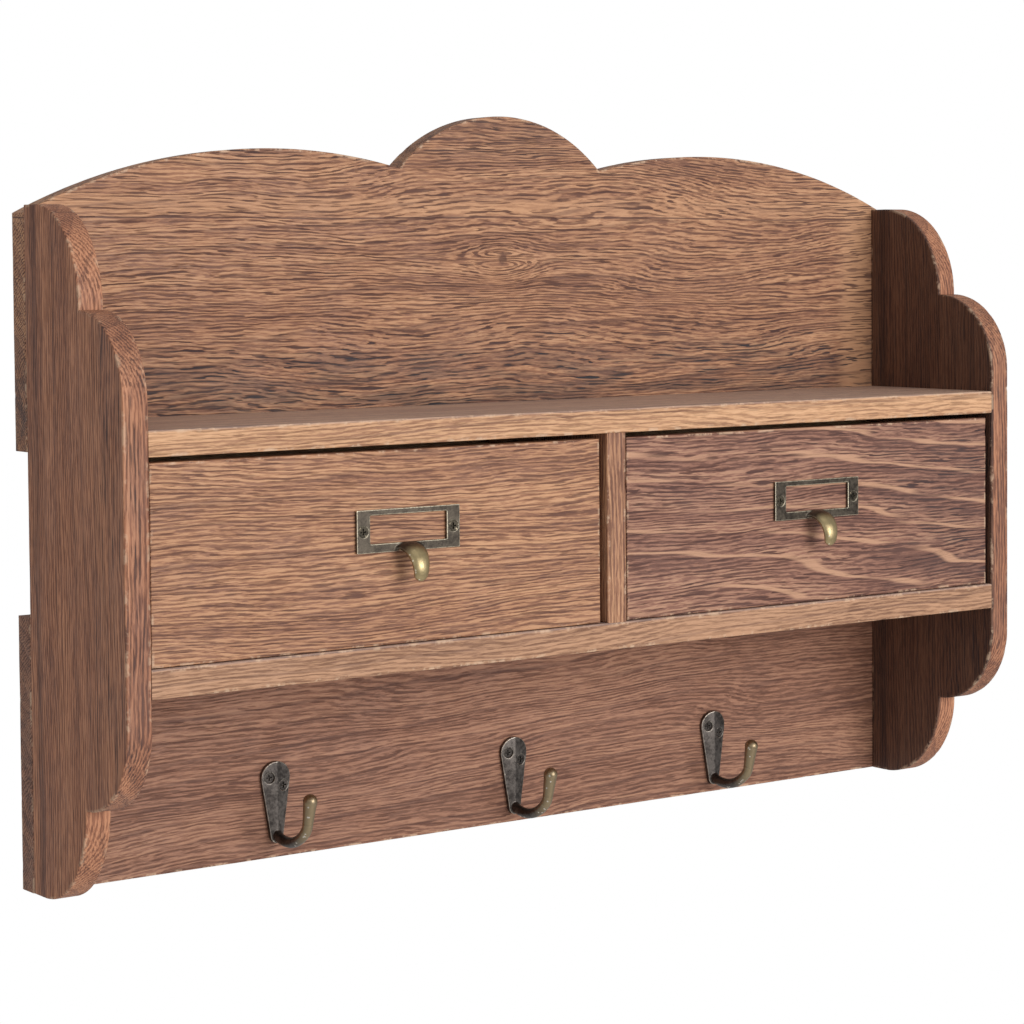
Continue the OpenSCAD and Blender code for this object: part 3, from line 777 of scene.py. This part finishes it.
def finger_mesh(plate_low, plate_high, middle, reach):
    """The finger of a pull: a domed strip that curls forward and down from the plate's lower bar."""
    centre_y = plate_low.y + LABEL_T - reach + FINGER_R
    centre_z = plate_high.z - LABEL_H + LABEL_LOW_BAR - FINGER_R
    mesh = bmesh.new()
    rings = []
    steps = 46
    around = 28
    for k in range(steps + 1):
        share = k / steps
        bent = max(0.0, (share - FINGER_ROOT) / (1 - FINGER_ROOT))
        angle = math.radians(90 - FINGER_TURN * bent)
        run = max(0.0, FINGER_ROOT - share) / FINGER_ROOT * FINGER_RUN
        width = FINGER_W - FINGER_NARROWING * share**1.15
        width += FINGER_FLARE * max(0.0, 1 - share / 0.2) ** 2
        thick = FINGER_T - FINGER_THINNING * share
        past = max(0.0, (share - 1 + FINGER_TIP) / FINGER_TIP)
        close = max(0.05, math.sqrt(max(0.0, 1 - past**2)))
        ring = []
        for i in range(around):
            turn = 2 * math.pi * i / around
            side = math.copysign(abs(math.cos(turn)) ** 0.75, math.cos(turn))
            rise = math.sin(turn)
            off = width / 2 * close * side
            crown = -CROWN * side**2 * (width / FINGER_W)
            if rise >= 0:
                level = FINGER_R - 0.02 + crown - (1 - rise) * thick * FINGER_EDGE * close
                level -= (1 - close) * 0.9
            else:
                level = FINGER_R - thick - 0.1 + crown * 1.15 + (1 + rise) * thick * FINGER_EDGE
                level += (1 - close) * 0.7
            spot_y = centre_y - level * math.cos(angle) + run
            spot_z = centre_z + level * math.sin(angle)
            ring.append(mesh.verts.new(Vector((middle + off, spot_y, spot_z)) * MM))
        rings.append(ring)
    for lower, upper in zip(rings, rings[1:]):
        for i in range(around):
            j = (i + 1) % around
            mesh.faces.new((lower[i], lower[j], upper[j], upper[i]))
    mesh.faces.new(rings[0][::-1])
    mesh.faces.new(rings[-1])
    bmesh.ops.recalc_face_normals(mesh, faces=mesh.faces)
    return mesh


def make_pull(side, material):
    """A label frame with its finger, from the CAD frame and a finely shaped finger."""
    node = side + "_pull"
    low, high = box_mm(node)
    front_low, _ = box_mm(side + "_drawer_front")
    plate_front = front_low.y - LABEL_T
    piece = copy_of(node, side + "_cast_pull")
    mesh = bmesh.new()
    mesh.from_mesh(piece.data)
    bmesh.ops.remove_doubles(mesh, verts=mesh.verts, dist=1e-6)
    sliced = bmesh.ops.bisect_plane(
        mesh,
        geom=mesh.verts[:] + mesh.edges[:] + mesh.faces[:],
        dist=1e-7,
        plane_co=Vector((0, plate_front - 0.02, 0)) * MM,
        plane_no=(0, -1, 0),
        clear_outer=True,
    )
    rim = [g for g in sliced["geom_cut"] if isinstance(g, bmesh.types.BMEdge)]
    bmesh.ops.holes_fill(mesh, edges=rim, sides=0)
    middle = (low.x + high.x) / 2
    plate_low = Vector((low.x, plate_front, low.z))
    finger = finger_mesh(plate_low, high, middle, front_low.y - low.y)
    extra = bpy.data.meshes.new("finger")
    finger.to_mesh(extra)
    finger.free()
    mesh.from_mesh(extra)
    mesh.to_mesh(piece.data)
    mesh.free()
    bpy.data.meshes.remove(extra)
    cast(piece, 0.24, 3)
    return dress(piece, material, node)


# ---- The scene ----

make_camera()
make_world(0.46)
make_light("key", (0.6, -2.55, 0.3), (0.0, 0.0, -0.1), (1.5, 1.5), 46)
make_light("fill", (-2.2, -1.6, 0.9), (0.0, 0.0, -0.1), (1.8, 1.8), 5)
make_light("top", (0.1, -0.9, 2.2), (0.0, -0.05, -0.1), (1.4, 1.0), 4)

floor_mesh = bmesh.new()
bmesh.ops.create_circle(floor_mesh, cap_ends=True, segments=96, radius=1.7)
floor = as_object("floor", floor_mesh)
floor.location = (0.0, 0.0, -1.3)
floor_finish = Finish("pale_floor")
floor_cloud = floor_finish.cloud(floor_finish.stretch(floor_finish.place(), 90, 90, 90), 3.0)
floor_colour = floor_finish.blend(floor_cloud, rgb(244, 243, 241), rgb(250, 249, 248))
floor.data.materials.append(floor_finish.finish(floor_colour, 0.7, floor_cloud, 0.05))

# Back boards
low, high = box_mm("back_board_upper")
_, shelf_high = box_mm("shelf_upper")
upper_wood = wood(
    "wood_upper_back",
    "x",
    3,
    waves=5.5,
    rings=(6.5, -130.0, 90.0, 0.065),
    ring_strength=0.5,
    streaks=0.9,
    stains=(("z", shelf_high.z + 44, shelf_high.z + 8, 1.0), ("z", 48, 66, 0.35)),
    pale=(("x", 212, 244, 0.75), ("z", 29, 41, 0.4)),
    knot=(0.0, 10.0, 3.4),
    lines=((29.5, 0.5, 0.8),),
)
upper = board("upper_back_board", crest_outline(low, high), low.y, high.y - BACK_INSET, facing, seed=2)
for hanger in ("hanger_left", "hanger_right"):
    for cutter in hanger_pocket(hanger, 0.0):
        cut(upper, cutter)
dress(upper, upper_wood, "back_board_upper")

low, high = box_mm("back_board_lower")
lower_wood = wood(
    "wood_lower_back",
    "x",
    8,
    light=rgb(176, 130, 103),
    mid=rgb(153, 108, 86),
    dark=rgb(120, 81, 63),
    rings=(7.5, -400.0, 120.0, 0.05),
    ring_strength=0.5,
    streaks=0.5,
    waves=4.5,
    stains=(("x", -214, -236, 0.5),),
)
lower = board(
    "lower_back_board",
    rectangle(low.x, low.z, high.x, high.z),
    low.y,
    high.y - BACK_INSET,
    facing,
    seed=5,
)
dress(lower, lower_wood, "back_board_lower")

# Side panels
for side, seed in (("left", 11), ("right", 13)):
    node = "side_panel_" + side
    low, high = box_mm(node)
    outline = panel_outline(low, high)
    # Painted shade: the right panel's inner face turns nearly black brown, standing in for the shade
    # inside the right cubby, away from the key light
    painted_inner_shade = (("x", low.x + 2.2, low.x + 0.3, 0.72, rgb(30, 20, 20)),) if side == "right" else ()
    panel_wood = wood(
        "wood_" + side + "_panel",
        "z",
        seed,
        light=rgb(196, 138, 104),
        mid=rgb(170, 114, 84),
        dark=rgb(128, 82, 62),
        waves=2.5,
        rings=(9.0, 70.0, low.x - 110, 0.03),
        ring_strength=0.35,
        streaks=0.5,
        stains=(("y", -60, -84, 0.45), ("y", -24, -19, 0.3)),
        painted_shade_and_sheen=painted_inner_shade,
        lines=((-20.5, 3.4, 0.45), (-38.0, 0.6, 0.5), (-74.5, 0.5, 0.55)),
        worn=0.5,
    )
    panel = board(side + "_panel", outline, low.x, high.x, sideways, seed=seed, chips=1.1)
    dress(panel, panel_wood, node)

# Shelves and divider
shelf_tones = {
    "shelf_upper": (rgb(220, 172, 132), rgb(202, 154, 115), rgb(166, 120, 90)),
    "shelf_lower": (rgb(194, 148, 116), rgb(178, 134, 103), rgb(144, 104, 79)),
}
for node, seed in (("shelf_upper", 17), ("shelf_lower", 19)):
    low, high = box_mm(node)
    shelf_light, shelf_mid, shelf_dark = shelf_tones[node]
    shelf_wood = wood(
        "wood_" + node,
        "x",
        seed,
        light=shelf_light,
        mid=shelf_mid,
        dark=shelf_dark,
        waves=3.0,
        rings=(8.0, 60.0, low.z - 70, 0.04),
        ring_strength=0.4,
        streaks=0.26,
        # Painted sheen: the top face of each shelf turns greyish pale, a painted reflection of the white
        # surroundings at a grazing angle
        painted_shade_and_sheen=(("z", high.z - 1.2, high.z - 0.1, 0.38, rgb(158, 150, 152)),),
    )
    shelf = board(
        node + "_board", rectangle(low.x, low.y, high.x, high.y), low.z, high.z, lying, seed=seed
    )
    dress(shelf, shelf_wood, node)
low, high = box_mm("divider")
divider_wood = wood("wood_divider", "z", 23, waves=2.5, ring_strength=0.4, streaks=0.34)
divider = board("divider_board", rectangle(low.y, low.z, high.y, high.z), low.x, high.x, sideways, seed=23)
dress(divider, divider_wood, "divider")

# Drawer fronts
front_woods = {
    "left": wood(
        "wood_left_front",
        "x",
        29,
        waves=4.0,
        rings=(6.0, -260.0, 20.0, 0.05),
        ring_strength=0.4,
        streaks=0.62,
    ),
    "right": wood(
        "wood_right_front",
        "x",
        31,
        light=rgb(179, 135, 109),
        mid=rgb(149, 105, 86),
        dark=rgb(110, 73, 61),
        waves=4.0,
        rings=(11.0, -190.0, -126.1, 0.157),
        ring_strength=1.0,
        ring_tint=rgb(196, 150, 120),
        streaks=1.0,
        stains=(("x", 120, 236, 0.5),),
    ),
}
for side, seed in (("left", 29), ("right", 31)):
    node = side + "_drawer_front"
    low, high = box_mm(node)
    front = board(
        side + "_front_board",
        rectangle(low.x, low.z, high.x, high.z),
        low.y,
        high.y,
        facing,
        ease=0.45,
        seed=seed,
    )
    dress(front, front_woods[side], node)

# Hooks and pulls
pewter = metal(
    "pewter",
    rgb(62, 57, 54),
    rgb(102, 95, 90),
    rgb(206, 196, 182),
    3,
    0.508,
    0.555,
    brass_wear_and_sheen=(rgb(150, 132, 104), -30, -42),
)
pull_front, _ = box_mm("left_pull")
brass = metal(
    "antique_brass",
    rgb(58, 52, 46),
    rgb(88, 80, 70),
    rgb(226, 214, 188),
    5,
    0.506,
    0.55,
    # The front of each finger turns golden cream: brass colour with a painted highlight
    brass_wear_and_sheen=(rgb(168, 150, 112), pull_front.y + 8.5, pull_front.y + 2.5),
)
for place in ("left", "middle", "right"):
    hook = cast(copy_of("hook_" + place, place + "_cast_hook"), 0.27, 3)
    dress(hook, pewter, "hook_" + place)
for side in ("left", "right"):
    make_pull(side, brass)

# CAD nodes that keep their shape
box_wood = wood(
    "wood_drawer_box",
    "y",
    37,
    light=rgb(206, 168, 130),
    mid=rgb(190, 150, 114),
    dark=rgb(160, 120, 88),
    streaks=0.2,
    ring_strength=0.4,
    worn=0.0,
)
crosswise_wood = wood(
    "wood_drawer_crosswise",
    "x",
    41,
    light=rgb(206, 172, 136),
    mid=rgb(192, 156, 120),
    dark=rgb(166, 128, 96),
    streaks=0.16,
    ring_strength=0.3,
    worn=0.0,
)
dowel_wood = wood("wood_dowels", "x", 43, light=rgb(214, 180, 140), streaks=0.15, worn=0.0)
steel = metal("bright_steel", rgb(120, 120, 122), rgb(160, 160, 162), rgb(220, 220, 222), 7, 0.56, 0.66)
nail_steel = metal("dull_steel", rgb(84, 82, 80), rgb(120, 116, 112), rgb(170, 166, 160), 9, 0.56, 0.66)
dark_screws = metal("dark_screws", rgb(46, 42, 40), rgb(76, 70, 66), rgb(150, 142, 130), 11, 0.52, 0.60)
brass_screws = metal("brass_screws", rgb(44, 40, 34), rgb(78, 71, 60), rgb(160, 148, 124), 13, 0.52, 0.60)
screws = {
    "hook_screws": (dark_screws, "hook_screw_bronze"),
    "left_pull_screws": (brass_screws, "pull_screw_brass"),
    "right_pull_screws": (brass_screws, "pull_screw_brass"),
}
for node, (material, slot) in screws.items():
    dress(cast(copy_of(node, node + "_turned"), 0.16, 1), material, node)
kept = {
    "shelf_dowels": dowel_wood,
    "divider_dowels": dowel_wood,
    "back_nails": nail_steel,
    "hanger_left": steel,
    "hanger_right": steel,
    "hanger_screws": steel,
}
for side in ("left", "right"):
    kept[side + "_drawer_side_outer"] = box_wood
    kept[side + "_drawer_side_inner"] = box_wood
    kept[side + "_drawer_back"] = crosswise_wood
    kept[side + "_drawer_bottom"] = crosswise_wood
    kept[side + "_drawer_dowels"] = dowel_wood
    kept[side + "_drawer_nails"] = nail_steel
for node, material in kept.items():
    for place in record_nodes[node].material_slots:
        place.material = material

# Colours are shown as they are, without a film look
bpy.context.scene.view_settings.view_transform = "Standard"
